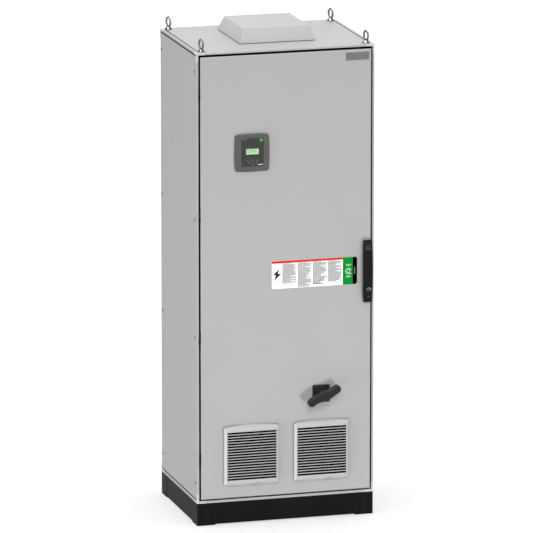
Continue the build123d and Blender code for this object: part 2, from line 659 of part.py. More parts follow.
# ---------------------------------------------------------------- door controller
CONTROL_HALF_X = 75
CONTROL_HALF_Z = 79.5
CONTROL_BULGE = 3
FACE_SIZE = (100, 124)
FACE_CENTRE = (CONTROL_X + 1, CONTROL_Z + 3)
FACE_RECESS = 2
DISPLAY_SIZE = (56.5, 25)
DISPLAY_CENTRE = (CONTROL_X + 1.5, CONTROL_Z + 5.5)
KEY_R = 5.5
KEY_CENTRE = (CONTROL_X + 2.3, CONTROL_Z - 41.5)
KEYS = {"key_left": (-15.4, 0), "key_right": (15.4, 0), "key_up": (0, 8), "key_down": (0, -8)}
face_front = CONTROL_FACE + FACE_RECESS

with BuildPart() as controller_bezel:
    with BuildSketch(facing_front(CONTROL_X, DOOR_FACE, CONTROL_Z)):
        with BuildLine():
            x, z, bulge = CONTROL_HALF_X, CONTROL_HALF_Z, CONTROL_BULGE
            ThreePointArc((-x, z), (0, z + bulge), (x, z))
            ThreePointArc((x, z), (x + bulge, 0), (x, -z))
            ThreePointArc((x, -z), (0, -z - bulge), (-x, -z))
            ThreePointArc((-x, -z), (-x - bulge, 0), (-x, z))
        outline = make_face()
        fillet(outline.vertices(), 9)
        with Locations((FACE_CENTRE[0] - CONTROL_X, FACE_CENTRE[1] - CONTROL_Z)):
            Rectangle(*FACE_SIZE, mode=Mode.SUBTRACT)
    extrude(amount=DOOR_FACE - CONTROL_FACE)
    front = controller_bezel.faces().sort_by(Axis.Y)[0]
    fillet(front.outer_wire().edges(), 3)
save(controller_bezel, "controller_bezel")

with BuildPart() as controller_face:
    with BuildSketch(Plane.XZ.offset(-face_front)):
        with Locations(FACE_CENTRE):
            Rectangle(FACE_SIZE[0] - 0.4, FACE_SIZE[1] - 0.4)
        with Locations(KEY_CENTRE):
            with Locations(*KEYS.values()):
                Circle(KEY_R + GAP, mode=Mode.SUBTRACT)
    extrude(amount=-7)
    with BuildSketch(Plane.XZ.offset(-face_front)):
        with Locations(DISPLAY_CENTRE):
            Rectangle(*DISPLAY_SIZE)
    extrude(amount=-3, mode=Mode.SUBTRACT)
save(controller_face, "controller_face")

with BuildPart() as controller_display:
    with BuildSketch(Plane.XZ.offset(-face_front - 0.8)):
        with Locations(DISPLAY_CENTRE):
            Rectangle(DISPLAY_SIZE[0] - 0.2, DISPLAY_SIZE[1] - 0.2)
    extrude(amount=-2.2)
save(controller_display, "controller_display")

with BuildPart() as controller_housing:
    block((CONTROL_X - 68, CONTROL_X + 68), (DOOR_FACE, FRONT + 60), (CONTROL_Z - 68, CONTROL_Z + 68))
    for z in (-30, 10):
        block((CONTROL_X - 50, CONTROL_X + 50), (FRONT + 60, FRONT + 72), (CONTROL_Z + z, CONTROL_Z + z + 16))
save(controller_housing, "controller_housing")

for name, (key_x, key_z) in KEYS.items():
    with BuildPart() as key:
        with BuildSketch(Plane.XZ.offset(-face_front - 5.5)):
            with Locations((KEY_CENTRE[0] + key_x, KEY_CENTRE[1] + key_z)):
                Circle(KEY_R)
        extrude(amount=7)
        fillet(key.faces().sort_by(Axis.Y)[0].edges(), 0.8)
    save(key, name)

# ---------------------------------------------------------------- breaker handle on the door
LEVER_REACH = 63.7
LEVER_END_R = 17
LEVER_HUB_R = 25
LEVER_WAIST = 15.2
LEVER_BACK = FRONT - 45
LEVER_FRONT = FRONT - 70
COLLAR_FRONT = FRONT - 20
SPINDLE = 10

with BuildPart() as breaker_plate:
    with BuildSketch(Plane.XZ.offset(-DOOR_FACE)):
        with Locations((BREAKER_X, BREAKER_Z)):
            RectangleRounded(78, 78, 3)
    extrude(amount=5)
    fillet(breaker_plate.faces().sort_by(Axis.Y)[0].edges(), 2)
    with BuildSketch(Plane.XZ.offset(-DOOR_FACE)):
        with Locations((BREAKER_X, BREAKER_Z)):
            Circle(29)
    extrude(amount=DOOR_FACE - COLLAR_FRONT)
    with BuildSketch(Plane.XZ.offset(-DOOR_FACE)):
        with Locations((BREAKER_X, BREAKER_Z)):
            Circle(SPINDLE + 0.05)
    extrude(amount=DOOR_FACE - COLLAR_FRONT, mode=Mode.SUBTRACT)
save(breaker_plate, "breaker_plate")

lever_turn = radians(LEVER_ANGLE)
lever_plane = Plane(
    origin=(BREAKER_X, LEVER_BACK, BREAKER_Z),
    x_dir=(cos(lever_turn), 0, sin(lever_turn)),
    z_dir=(0, -1, 0),
)

with BuildPart() as breaker_lever:
    with BuildSketch(lever_plane):
        with BuildLine():
            reach, end, hub = LEVER_REACH, LEVER_END_R, LEVER_HUB_R
            Line((-reach, end), (0, hub))
            ThreePointArc((0, hub), (reach / 2, LEVER_WAIST), (reach, end))
            ThreePointArc((reach, end), (reach + end, 0), (reach, -end))
            Line((reach, -end), (0, -hub))
            ThreePointArc((0, -hub), (-reach / 2, -LEVER_WAIST), (-reach, -end))
            ThreePointArc((-reach, -end), (-reach - end, 0), (-reach, end))
        make_face()
    extrude(amount=LEVER_BACK - LEVER_FRONT)
    fillet(breaker_lever.faces().sort_by(Axis.Y)[0].edges(), 4)
    with BuildSketch(lever_plane):
        Circle(24)
    extrude(amount=-(COLLAR_FRONT - GAP - LEVER_BACK))
    with BuildSketch(lever_plane):
        Circle(SPINDLE)
    extrude(amount=-(FRONT + 20 - LEVER_BACK))
save(breaker_lever, "breaker_lever")

# ---------------------------------------------------------------- filter grilles
SLOT_COUNT = 18
SLOT_PITCH = 12.15
SLOT_SIZE = (222, 8.6)
SHOULDER = 108
SIDE_BEVEL = 8
COVER_FRONT = FRONT - 25
COVER_BACK = DOOR_FACE - GAP
FLANGE_FRONT = DOOR_FACE - 4

with BuildPart() as grille_frames:
    for side in (-1, 1):
        x = side * GRILLE_X
        with BuildSketch(Plane.XZ.offset(-FLANGE_FRONT)):
            with Locations((x, GRILLE_Z)):
                Rectangle(238, 250)
        extrude(amount=-4)
        block((x - 110.5, x + 110.5), (DOOR_FACE, FRONT + 38), (GRILLE_Z - 110.5, GRILLE_Z + 110.5))
        duct_x = (x - 107.5, x + 107.5)
        block(duct_x, (FLANGE_FRONT - 1, FRONT + 39), (GRILLE_Z - 107.5, GRILLE_Z + 107.5), Mode.SUBTRACT)
        for bar in range(-3, 4):
            block(duct_x, (FRONT + 34, FRONT + 38), (GRILLE_Z + 30 * bar - 2, GRILLE_Z + 30 * bar + 2))
save(grille_frames, "grille_frames")

with BuildPart() as filter_mats:
    for side in (-1, 1):
        mat_x = (side * GRILLE_X - 107, side * GRILLE_X + 107)
        block(mat_x, (FRONT + 16, FRONT + 33.7), (GRILLE_Z - 107, GRILLE_Z + 107))
save(filter_mats, "filter_mats")

RIM_HALF_X = 121
RIM_HALF_Z = 126
FIELD_HALF = 113
COVER_WALL = 2
LATCH_DROP = 121
LATCH_SIZE = (40, 12)

for side, name in ((-1, "grille_cover_left"), (1, "grille_cover_right")):
    with BuildPart() as grille_cover:
        with BuildSketch(facing_front(side * GRILLE_X, COVER_BACK, GRILLE_Z)):
            with BuildLine():
                x, z = GRILLE_WIDTH / 2, GRILLE_HEIGHT / 2
                crest = z + GRILLE_BULGE
                ThreePointArc((-x, z), (0, crest), (x, z))
                Line((x, z), (x, -z))
                ThreePointArc((x, -z), (0, -crest), (-x, -z))
                Line((-x, -z), (-x, z))
            make_face()
        extrude(amount=COVER_BACK - COVER_FRONT)
        with BuildSketch(Plane.YZ.offset(side * GRILLE_X)):
            with BuildLine():
                low, high = GRILLE_Z - crest - 0.5, GRILLE_Z + crest + 0.5
                shoulder_low, shoulder_high = GRILLE_Z - SHOULDER, GRILLE_Z + SHOULDER
                bend_front = COVER_FRONT + 4.5
                Line((COVER_FRONT, shoulder_low), (COVER_FRONT, shoulder_high))
                ThreePointArc((COVER_FRONT, shoulder_high), (bend_front, high - 11), (COVER_BACK, high))
                Line((COVER_BACK, high), (COVER_BACK, low))
                ThreePointArc((COVER_BACK, low), (bend_front, low + 11), (COVER_FRONT, shoulder_low))
            make_face()
        extrude(amount=GRILLE_WIDTH / 2 + 1, both=True, mode=Mode.INTERSECT)
        with BuildSketch(Plane.XY.offset(GRILLE_Z)):
            with BuildLine():
                left, right = side * GRILLE_X - GRILLE_WIDTH / 2, side * GRILLE_X + GRILLE_WIDTH / 2
                Polyline(
                    (left, COVER_BACK + 1),
                    (left, COVER_FRONT + SIDE_BEVEL),
                    (left + SIDE_BEVEL + 1, COVER_FRONT),
                    (right - SIDE_BEVEL - 1, COVER_FRONT),
                    (right, COVER_FRONT + SIDE_BEVEL),
                    (right, COVER_BACK + 1),
                    close=True,
                )
            make_face()
        extrude(amount=crest + 1, both=True, mode=Mode.INTERSECT)
        cavity_x = (side * GRILLE_X - RIM_HALF_X, side * GRILLE_X + RIM_HALF_X)
        cavity_z = (GRILLE_Z - RIM_HALF_Z, GRILLE_Z + RIM_HALF_Z)
        block(cavity_x, (FLANGE_FRONT - 1, COVER_BACK + 1), cavity_z, Mode.SUBTRACT)
        slot_field_x = (side * GRILLE_X - FIELD_HALF, side * GRILLE_X + FIELD_HALF)
        slot_field_z = (GRILLE_Z - FIELD_HALF, GRILLE_Z + FIELD_HALF)
        block(slot_field_x, (COVER_FRONT + COVER_WALL, COVER_BACK + 1), slot_field_z, Mode.SUBTRACT)
        with BuildSketch(facing_front(side * GRILLE_X, COVER_FRONT - 1, GRILLE_Z)):
            with GridLocations(1, SLOT_PITCH, 1, SLOT_COUNT):
                Rectangle(*SLOT_SIZE)
        extrude(amount=-20, mode=Mode.SUBTRACT)
        with BuildSketch(facing_front(side * GRILLE_X, COVER_FRONT + 6, GRILLE_Z - LATCH_DROP)):
            Rectangle(*LATCH_SIZE)
        extrude(amount=5)
    save(grille_cover, name)

# ---------------------------------------------------------------- swing handle
PINION_R = 8
ROD_WIDTH = 7
ROD_GAP = 0.4
BASE_FRONT = FRONT - 13
BASE_LOW = 976
BASE_HIGH = 1222
LEVER_REAR = BASE_FRONT - 0.7
rod_y = (FRONT - 3, FRONT + 3)

with BuildPart() as handle_base:
    with BuildSketch(Plane.XZ.offset(-DOOR_FACE)):
        with Locations((HANDLE_X, (BASE_LOW + BASE_HIGH) / 2)):
            RectangleRounded(36, BASE_HIGH - BASE_LOW, 8)
        with Locations((HANDLE_X, SWIVEL_Z)):
            Circle(HUB_HOLE, mode=Mode.SUBTRACT)
    extrude(amount=DOOR_FACE - BASE_FRONT)
save(handle_base, "handle_base")

with BuildPart() as lock_cam:
    with BuildSketch(Plane.XZ.offset(-FRONT + 4)):
        with Locations((HANDLE_X, SWIVEL_Z)):
            Circle(HUB_HOLE - 0.05)
    extrude(amount=FRONT - 4 - BASE_FRONT + GAP)
    with BuildSketch(Plane.XZ.offset(-FRONT + 4)):
        with Locations((HANDLE_X, SWIVEL_Z)):
            Circle(PINION_R)
    extrude(amount=-(4 + 3))
    block((HANDLE_X - 6.5, HANDLE_X + 6.5), (LIFT_Y - 4, BASE_FRONT - GAP), (SWIVEL_Z - 5, LIFT_Z + 4))
    with Locations(Location((HANDLE_X, LIFT_Y, LIFT_Z), (0, 90, 0))):
        Cylinder(2.05, 20, mode=Mode.SUBTRACT)
save(lock_cam, "lock_cam")

LEVER_END_DEPTH = 28
LEVER_MID_DEPTH = 36
LEVER_END_HALF = 18
LEVER_MID_HALF = 20
LEVER_MID_Z = (HANDLE_LOW + HANDLE_HIGH) / 2
LOCK_R = 10

with BuildPart() as handle_lever:
    with BuildSketch(Plane.YZ.offset(HANDLE_X)):
        with BuildLine():
            Polyline(
                (FRONT - LEVER_END_DEPTH, HANDLE_LOW - 5),
                (LEVER_REAR, HANDLE_LOW - 5),
                (LEVER_REAR, SWIVEL_Z + 9),
                (LIFT_Y + 4, SWIVEL_Z + 9),
                (LIFT_Y + 4, HANDLE_HIGH + 5),
                (FRONT - LEVER_END_DEPTH, HANDLE_HIGH + 5),
            )
            ThreePointArc(
                (FRONT - LEVER_END_DEPTH, HANDLE_HIGH + 5),
                (FRONT - LEVER_MID_DEPTH, LEVER_MID_Z),
                (FRONT - LEVER_END_DEPTH, HANDLE_LOW - 5),
            )
        make_face()
    extrude(amount=22, both=True)
    with BuildSketch(Plane.XZ.offset(-FRONT)) as front_outline:
        with BuildLine():
            left, right = HANDLE_X - LEVER_END_HALF, HANDLE_X + LEVER_END_HALF
            waist_left, waist_right = HANDLE_X - LEVER_MID_HALF, HANDLE_X + LEVER_MID_HALF
            Line((left, HANDLE_HIGH), (right, HANDLE_HIGH))
            ThreePointArc((right, HANDLE_HIGH), (waist_right, LEVER_MID_Z), (right, HANDLE_LOW))
            Line((right, HANDLE_LOW), (left, HANDLE_LOW))
            ThreePointArc((left, HANDLE_LOW), (waist_left, LEVER_MID_Z), (left, HANDLE_HIGH))
        outline = make_face()
        fillet(outline.vertices(), 2)
    extrude(amount=LEVER_MID_DEPTH + 1, mode=Mode.INTERSECT)
    block((HANDLE_X - 7, HANDLE_X + 7), (LIFT_Y - 5.5, FRONT), (SWIVEL_Z - 15, LIFT_Z + 7), Mode.SUBTRACT)
    with Locations(Location((HANDLE_X, LIFT_Y, LIFT_Z), (0, 90, 0))):
        Cylinder(2, 16)
    with BuildSketch(Plane.XZ.offset(-FRONT)):
        with Locations((HANDLE_X + 3, LOCK_Z)):
            Circle(LOCK_R + 0.05)
    extrude(amount=LEVER_MID_DEPTH + 1, mode=Mode.SUBTRACT)
save(handle_lever, "handle_lever")

with BuildPart() as lock_cylinder:
    with BuildSketch(Plane.XZ.offset(-LEVER_REAR)):
        with Locations((HANDLE_X + 3, LOCK_Z)):
            Circle(LOCK_R)
    extrude(amount=LEVER_REAR - FRONT + 32)
    with BuildSketch(Plane.XZ.offset(-FRONT + 32)):
        with Locations((HANDLE_X + 3, LOCK_Z)):
            Rectangle(2, 11)
    extrude(amount=-6, mode=Mode.SUBTRACT)
save(lock_cylinder, "lock_cylinder")

with BuildPart() as lock_rod_upper:
    rod_x = (HANDLE_X + PINION_R + ROD_GAP, HANDLE_X + PINION_R + ROD_GAP + ROD_WIDTH)
    block(rod_x, rod_y, (SWIVEL_Z - 15, DOOR_TOP - 20))
save(lock_rod_upper, "lock_rod_upper")

with BuildPart() as lock_rod_lower:
    rod_x = (HANDLE_X - PINION_R - ROD_GAP - ROD_WIDTH, HANDLE_X - PINION_R - ROD_GAP)
    block(rod_x, rod_y, (DOOR_BOTTOM + 20, SWIVEL_Z + 15))
save(lock_rod_lower, "lock_rod_lower")
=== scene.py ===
import json
import random
from collections import namedtuple
from math import cos, pi, radians, sin

import bmesh
import bpy
from mathutils import Matrix, Vector


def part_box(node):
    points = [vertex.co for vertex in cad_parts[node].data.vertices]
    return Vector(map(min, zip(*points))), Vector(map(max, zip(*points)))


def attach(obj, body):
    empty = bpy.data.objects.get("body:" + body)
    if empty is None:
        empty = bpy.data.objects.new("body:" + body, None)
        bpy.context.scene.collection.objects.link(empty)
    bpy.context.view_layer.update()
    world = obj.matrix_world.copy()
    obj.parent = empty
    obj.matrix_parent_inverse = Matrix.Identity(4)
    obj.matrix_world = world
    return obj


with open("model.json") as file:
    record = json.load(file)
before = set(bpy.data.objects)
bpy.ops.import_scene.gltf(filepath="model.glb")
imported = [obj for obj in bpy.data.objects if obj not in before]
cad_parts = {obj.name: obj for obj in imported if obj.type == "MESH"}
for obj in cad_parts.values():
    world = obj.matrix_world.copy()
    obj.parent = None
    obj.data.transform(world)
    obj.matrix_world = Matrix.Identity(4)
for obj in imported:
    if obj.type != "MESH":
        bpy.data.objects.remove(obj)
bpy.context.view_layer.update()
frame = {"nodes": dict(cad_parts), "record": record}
nodes = frame["nodes"]
scene = bpy.context.scene

# The camera, the lamps and the floor are placed in metres, and the added pieces in millimetres.
MM = 0.001
Face = namedtuple("Face", "left right low high front")


def in_mm(box):
    """Left, right, low, high and front of a node's box, in millimetres."""
    low, high = box
    return Face(low[0] / MM, high[0] / MM, low[2] / MM, high[2] / MM, low[1] / MM)


# ---------------------------------------------------------------- camera
LENS = 445.75
CAMERA_PLACE = (-7.7437, -27.1410, 7.4771)
CAMERA_TURN = -15.923
CAMERA_TILT = 12.787


def look_along(obj, direction):
    """Turn a camera or lamp so that it points along the direction."""
    obj.rotation_euler = direction.to_track_quat("-Z", "Y").to_euler()


def make_camera():
    """Long lens from the front left, slightly above the cabinet."""
    data = bpy.data.cameras.new("camera")
    data.lens = LENS
    data.sensor_width = 36
    data.clip_end = 100
    camera = bpy.data.objects.new("camera", data)
    scene.collection.objects.link(camera)
    camera.location = CAMERA_PLACE
    turn, tilt = radians(CAMERA_TURN), radians(CAMERA_TILT)
    away = Vector((sin(turn) * cos(tilt), -cos(turn) * cos(tilt), sin(tilt)))
    look_along(camera, -away)
    scene.camera = camera


# ---------------------------------------------------------------- studio
FLOOR_SIZE = 400
FLOOR_DROP = 0.0005
FLOOR_GREY = 0.6
FLOOR_GLOW = 0.5
WHITE = (1, 1, 1, 1)


def make_floor():
    """Slightly self-lit floor that stays white; it casts no shadow, as two lamps stand below its level."""
    bpy.ops.mesh.primitive_plane_add(size=FLOOR_SIZE, location=(0, 0, -FLOOR_DROP))
    floor = bpy.context.object
    floor.name = "floor"
    material = bpy.data.materials.new("floor")
    material.use_nodes = True
    shader = material.node_tree.nodes["Principled BSDF"]
    shader.inputs["Base Color"].default_value = (FLOOR_GREY, FLOOR_GREY, FLOOR_GREY, 1)
    shader.inputs["Roughness"].default_value = 1
    shader.inputs["Specular IOR Level"].default_value = 0
    shader.inputs["Emission Color"].default_value = WHITE
    shader.inputs["Emission Strength"].default_value = FLOOR_GLOW
    floor.data.materials.append(material)
    floor.visible_shadow = False
    return floor


def make_surroundings():
    """Even white surroundings, and colours shown without a film look."""
    world = bpy.data.worlds.new("studio")
    world.use_nodes = True
    world.node_tree.nodes["Background"].inputs["Color"].default_value = WHITE
    world.node_tree.nodes["Background"].inputs["Strength"].default_value = 1.0
    scene.world = world
    scene.view_settings.view_transform = "Standard"


def area_light(name, place, target, size, power, receivers, mirrored=True, spread=180):
    """Soft square lamp that points at the target and lights what the receivers' collection allows."""
    data = bpy.data.lights.new(name, "AREA")
    data.shape = "SQUARE"
    data.size = size
    data.energy = power
    data.spread = radians(spread)
    lamp = bpy.data.objects.new(name, data)
    scene.collection.objects.link(lamp)
    lamp.location = place
    look_along(lamp, Vector(target) - Vector(place))
    lamp.visible_glossy = mirrored
    lamp.light_linking.receiver_collection = receivers


def make_lamps(floor):
    """Soft lamps left, in front, above and behind, one for the hood only, and a small low one.

    The lamps light the object and not the floor; the left and the low lamp stand below floor level.
    """
    no_floor = bpy.data.collections.new("not_lit_by_lamps")
    no_floor.objects.link(floor)
    no_floor.collection_objects[0].light_linking.link_state = "EXCLUDE"
    hood_only = bpy.data.collections.new("hood_only")
    hood_only.objects.link(nodes["roof_hood"])
    area_light("left_light", place=(-7.0, -2.3, -2.3), target=(0, 0, 0.9), size=3.5, power=540,
               receivers=no_floor)
    area_light("front_light", place=(-1.2, -7.0, 5.0), target=(0, -0.3, 0.2), size=3.2, power=71,
               receivers=no_floor, spread=60)
    area_light("top_light", place=(-0.4, 0, 6.5), target=(0, 0, 2.1), size=2.5, power=362,
               receivers=no_floor)
    area_light("back_light", place=(4.0, 9.0, 3.0), target=(0, 0.3, 1.2), size=4.0, power=800,
               receivers=no_floor, mirrored=False)
    area_light("hood_light", place=(-7.6, -5.6, 2.3), target=(0, 0, 2.15), size=3.0, power=1080,
               receivers=hood_only)
    area_light("low_light", place=(2.08, -5.71, -1.32), target=(0.1, -0.3, 0.6), size=0.35, power=290,
               receivers=no_floor, mirrored=False)


make_camera()
studio_floor = make_floor()
make_surroundings()
make_lamps(studio_floor)

# ---------------------------------------------------------------- materials
EDGE_RADIUS = 0.0007
RAMP_START, RAMP_END = 0.3, 0.7


def graph(name):
    """New node material and its shader, with object coordinates ready to use."""
    material = bpy.data.materials.new(name)
    material.use_nodes = True
    tree = material.node_tree
    shader = tree.nodes["Principled BSDF"]
    coords = tree.nodes.new("ShaderNodeTexCoord").outputs["Object"]
    return material, tree, shader, coords


def noise(tree, coords, scale, detail=3.0):
    """Noise texture over object coordinates."""
    node = tree.nodes.new("ShaderNodeTexNoise")
    node.inputs["Scale"].default_value = scale
    node.inputs["Detail"].default_value = detail
    tree.links.new(coords, node.inputs["Vector"])
    return node.outputs["Fac"]


def shades(tree, value, low, high):
    """Colour that runs from low to high with the value."""
    ramp = tree.nodes.new("ShaderNodeValToRGB")
    ramp.color_ramp.elements[0].position = RAMP_START
    ramp.color_ramp.elements[0].color = (*low, 1)
    ramp.color_ramp.elements[1].position = RAMP_END
    ramp.color_ramp.elements[1].color = (*high, 1)
    tree.links.new(value, ramp.inputs["Fac"])
    return ramp.outputs["Color"]


def raise_by(tree, shader, value, height, edge_radius):
    """Small relief on the surface, of that height in metres, over softened edges."""
    bump = tree.nodes.new("ShaderNodeBump")
    bump.inputs["Distance"].default_value = height
    tree.links.new(value, bump.inputs["Height"])
    edge = tree.nodes.new("ShaderNodeBevel")
    edge.inputs["Radius"].default_value = edge_radius
    tree.links.new(edge.outputs["Normal"], bump.inputs["Normal"])
    tree.links.new(bump.outputs["Normal"], shader.inputs["Normal"])


def tinted(colour, factor):
    """Lighter or darker version of the colour."""
    return tuple(min(1, part * factor) for part in colour)


def finish_of(name, colour, rough, metal=0.0, spread=0.05, mottle=9, grain=900, relief=0.00004, mirror=0.5,
              edge=EDGE_RADIUS):
    """Surface with a slight mottle in its colour, a fine relief and softened edges.

    The colour varies by the spread, in patches as fine as the mottle. The grain is the relief's fineness,
    and mirror is how strongly the surface reflects.
    """
    material, tree, shader, coords = graph(name)
    soft = noise(tree, coords, mottle)
    fine = noise(tree, coords, grain, 2.0)
    colours = shades(tree, soft, tinted(colour, 1 - spread), tinted(colour, 1 + spread))
    tree.links.new(colours, shader.inputs["Base Color"])
    shader.inputs["Roughness"].default_value = rough
    shader.inputs["Metallic"].default_value = metal
    shader.inputs["Specular IOR Level"].default_value = mirror
    raise_by(tree, shader, fine, relief, edge)
    return material


# slot: (colour, roughness, metallic, spread, mottle, grain, relief, mirror)
FINISHES = {
    "plinth": ((0.0026, 0.0028, 0.0028), 0.5, 0.0, 0.10, 12, 1400, 0.00004, 0.06),
    "enclosure": ((0.1879, 0.1898, 0.1879), 0.45, 0.0, 0.012, 3, 1100, 0.00003, 0.3),
    "zinc_steel": ((0.1479, 0.1479, 0.1436), 0.28, 1.0, 0.25, 90, 700, 0.00003, 0.5),
    "dark_steel": ((0.037, 0.037, 0.037), 0.45, 0.6, 0.15, 60, 700, 0.00003, 0.3),
    "black_rubber": ((0.0019, 0.0019, 0.0019), 0.9, 0.0, 0.2, 90, 500, 0.0001, 0.05),
    "galvanised": ((0.3106, 0.318, 0.3254), 0.42, 1.0, 0.16, 70, 300, 0.00002, 0.5),
    "black_plastic": ((0.0076, 0.0076, 0.0082), 0.45, 0.0, 0.12, 40, 900, 0.00004, 0.2),
    "device_plastic": ((0.0313, 0.0338, 0.0364), 0.48, 0.0, 0.08, 40, 900, 0.00004, 0.3),
    "terminal_plastic": ((0.2004, 0.2067, 0.2004), 0.5, 0.0, 0.05, 40, 900, 0.00004, 0.4),
    "duct_plastic": ((0.1691, 0.1754, 0.1817), 0.55, 0.0, 0.05, 30, 900, 0.00003, 0.4),
    "core_steel": ((0.0251, 0.0251, 0.0282), 0.5, 0.4, 0.2, 60, 600, 0.00005, 0.3),
    "coil_resin": ((0.1253, 0.0345, 0.0137), 0.4, 0.0, 0.2, 50, 300, 0.0002, 0.4),
    "copper": ((0.4881, 0.2218, 0.1257), 0.3, 1.0, 0.1, 40, 300, 0.00002, 0.5),
    "support_resin": ((0.1879, 0.0137, 0.0094), 0.45, 0.0, 0.1, 50, 600, 0.00005, 0.4),
    "bare_aluminium": ((0.3697, 0.3697, 0.3771), 0.38, 1.0, 0.06, 60, 600, 0.00002, 0.5),
    "drive_metal": ((0.0877, 0.094, 0.1002), 0.5, 0.0, 0.05, 20, 1100, 0.00003, 0.3),
    "drive_plastic": ((0.0438, 0.0464, 0.0501), 0.48, 0.0, 0.06, 20, 900, 0.00004, 0.3),
    "circuit_board": ((0.005, 0.0438, 0.0151), 0.35, 0.0, 0.25, 90, 500, 0.00006, 0.4),
    "capacitor_can": ((0.2662, 0.2736, 0.2884), 0.35, 0.9, 0.06, 50, 700, 0.00002, 0.5),
    "plate_grey": ((0.075, 0.075, 0.078), 0.35, 0.0, 0.08, 60, 900, 0.00002, 0.3),
    "label_white": ((0.53, 0.53, 0.527), 0.4, 0.0, 0.01, 30, 900, 0.00001, 0.2),
    "bezel_grey": ((0.0385, 0.0385, 0.039), 0.45, 0.0, 0.05, 60, 1200, 0.00004, 0.3),
    "face_grey": ((0.0215, 0.0215, 0.0203), 0.4, 0.0, 0.05, 60, 900, 0.00002, 0.12),
    "grille_plastic": ((0.214, 0.215, 0.213), 0.42, 0.0, 0.015, 20, 900, 0.00001, 0.5),
    "filter_fleece": ((0.0016, 0.0016, 0.0016), 0.95, 0.0, 0.15, 300, 700, 0.0008, 0.0),
    "handle_black": ((0.0040, 0.0040, 0.0041), 0.4, 0.0, 0.1, 60, 1300, 0.00005, 0.06),
    "lever_black": ((0.0075, 0.0075, 0.0078), 0.38, 0.0, 0.1, 60, 1300, 0.00006, 0.22),
    "key_grey": ((0.0215, 0.0215, 0.0203), 0.5, 0.0, 0.1, 60, 900, 0.00003, 0.12),
}
materials = {name: finish_of(name, *numbers) for name, numbers in FINISHES.items()}


def display_glow():
    """Green backlit liquid crystal, a little uneven."""
    material, tree, shader, coords = graph("display")
    glow = shades(tree, noise(tree, coords, 25), (0.185, 0.285, 0.175), (0.21, 0.32, 0.20))
    tree.links.new(glow, shader.inputs["Base Color"])
    tree.links.new(glow, shader.inputs["Emission Color"])
    shader.inputs["Emission Strength"].default_value = 0.12
    shader.inputs["Roughness"].default_value = 0.3
    return material


materials["display"] = display_glow()

for entry in frame["record"]["subparts"]:
    node = nodes[entry["node"]]
    node.data.materials.clear()
    node.data.materials.append(materials[entry["material_slot"]])


def paint(name, material):
    """Give one node a finish of its own."""
    nodes[name].data.materials[0] = material


# The hinges are painted near black as painted shade, so that they vanish in the dark door gap.
paint("hinges", finish_of("hinge_shade_black", (0.0025, 0.0025, 0.0025), 0.6, mirror=0.1))
paint("panel_screws", finish_of("screw_dark", (0.003, 0.003, 0.003), 0.6, mirror=0.1))
# The corner castings are painted lighter than the rest of the enclosure: a painted highlight on the
# corners.
paint("frame_corners", finish_of("corner_castings_highlit", (0.25, 0.25, 0.247), 0.3, spread=0.012, mottle=3,
                                 mirror=0.4))
paint("breaker_lever", finish_of("lever_soft", (0.0050, 0.0050, 0.0052), 0.33, mottle=60, mirror=0.25,
                                 edge=0.0035))
paint("handle_lever", finish_of("handle_soft", (0.0036, 0.0036, 0.0037), 0.4, mottle=60, mirror=0.08,
                                edge=0.003))
paint("lock_cylinder", finish_of("lock_dark", (0.0125, 0.0125, 0.0125), 0.35, mirror=0.3))


def ink(name, colour, rough=0.45):
    """Printed colour with the faintest mottle."""
    return finish_of(name, colour, rough, spread=0.03, mottle=60, relief=0.00001, mirror=0.08)


# ---------------------------------------------------------------- outlines seen from the front
def bar(x0, x1, z0, z1):
    """Rectangle between two places across and two heights, in millimetres."""
    return [(x0, z0), (x1, z0), (x1, z1), (x0, z1)]


def band(middle, half, z0, z1):
    """Rectangle to both sides of a middle line."""
    return bar(middle - half, middle + half, z0, z1)


def on_circle(x, z, radius, turn):
    """Point on a circle."""
    return (x + radius * cos(turn), z + radius * sin(turn))


def disc(x, z, radius, steps=32):
    """Round outline."""
    return [on_circle(x, z, radius, 2 * pi * step / steps) for step in range(steps)]


def ring(x, z, radius, width, start=0, stop=360, steps=32):
    """Outlines of a ring or an arc, cut in short pieces."""
    pieces = []
    for step in range(steps):
        first, last = (radians(start + (stop - start) * edge / steps) for edge in (step, step + 1))
        outer = [on_circle(x, z, radius, turn) for turn in (first, last)]
        inner = [on_circle(x, z, radius - width, turn) for turn in (last, first)]
        pieces.append(outer + inner)
    return pieces


def frame_ring(x0, x1, z0, z1, wall):
    """Four bars round the inside of a rectangle."""
    return [bar(x0, x1, z0, z0 + wall), bar(x0, x1, z1 - wall, z1),
            bar(x0, x0 + wall, z0 + wall, z1 - wall), bar(x1 - wall, x1, z0 + wall, z1 - wall)]


RAGGED_ENDS = (0, 0, 2, 5, 12, 26)
SHORT_WORD, LONG_WORD, WORD_GAP = 3, 9, 1.1


def text_lines(left, right, high, low, pitch, thick, seed):
    """Bars that stand for lines of small print, with word gaps and ragged ends."""
    draws = random.Random(seed)
    bars = []
    z = high
    while z > low:
        end = right - draws.choice(RAGGED_ENDS)
        x = left
        while x < end:
            word = min(draws.uniform(SHORT_WORD, LONG_WORD), end - x)
            bars.append(bar(x, x + word, z - thick, z))
            x += word + WORD_GAP
        z -= pitch
    return bars


# ---------------------------------------------------------------- added pieces
def finished_piece(name, shape, body, material):
    """Turn the shape into a piece that moves with the body and takes the slot."""
    mesh = bpy.data.meshes.new(name)
    shape.to_mesh(mesh)
    shape.free()
    piece = bpy.data.objects.new(name, mesh)
    scene.collection.objects.link(piece)
    piece.data.materials.append(material)
    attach(piece, body)


